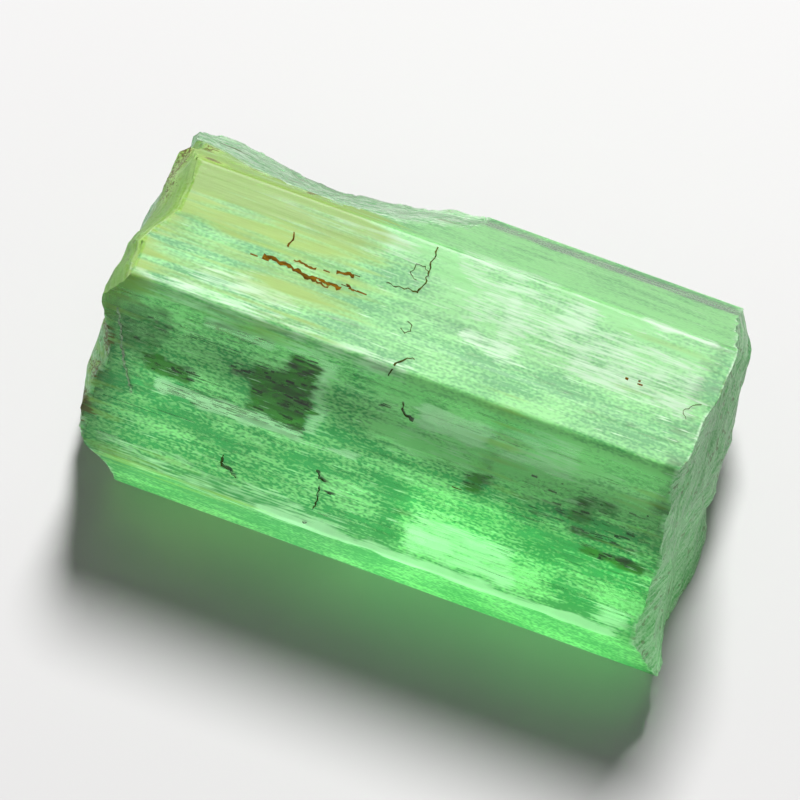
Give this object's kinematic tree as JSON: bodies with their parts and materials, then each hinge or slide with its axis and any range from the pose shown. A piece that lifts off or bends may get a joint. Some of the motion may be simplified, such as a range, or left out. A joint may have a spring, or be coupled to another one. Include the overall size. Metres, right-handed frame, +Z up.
{
  "type": "emerald crystal",
  "caption": "Rough emerald crystal: a striated hexagonal prism of beryl, broken off across both ends and chipped along an upper edge, lying on a prism face.",
  "frame": {"origin": "centre of the box at its bottom, on the prism face that the crystal lies on", "axes": "+X along the crystal's long (c) axis, towards the break that shows; -Y front; +Z up, out of the prism face opposite the one it lies on"},
  "size_m": [0.0162, 0.0094, 0.0085],
  "materials": {
    "emerald": "natural beryl, translucent, with fine growth striations along the prism faces and satin, hackly breaks"
  },
  "bodies": {
    "root": {"emerald_crystal": "emerald"}
  },
  "joints": []
}
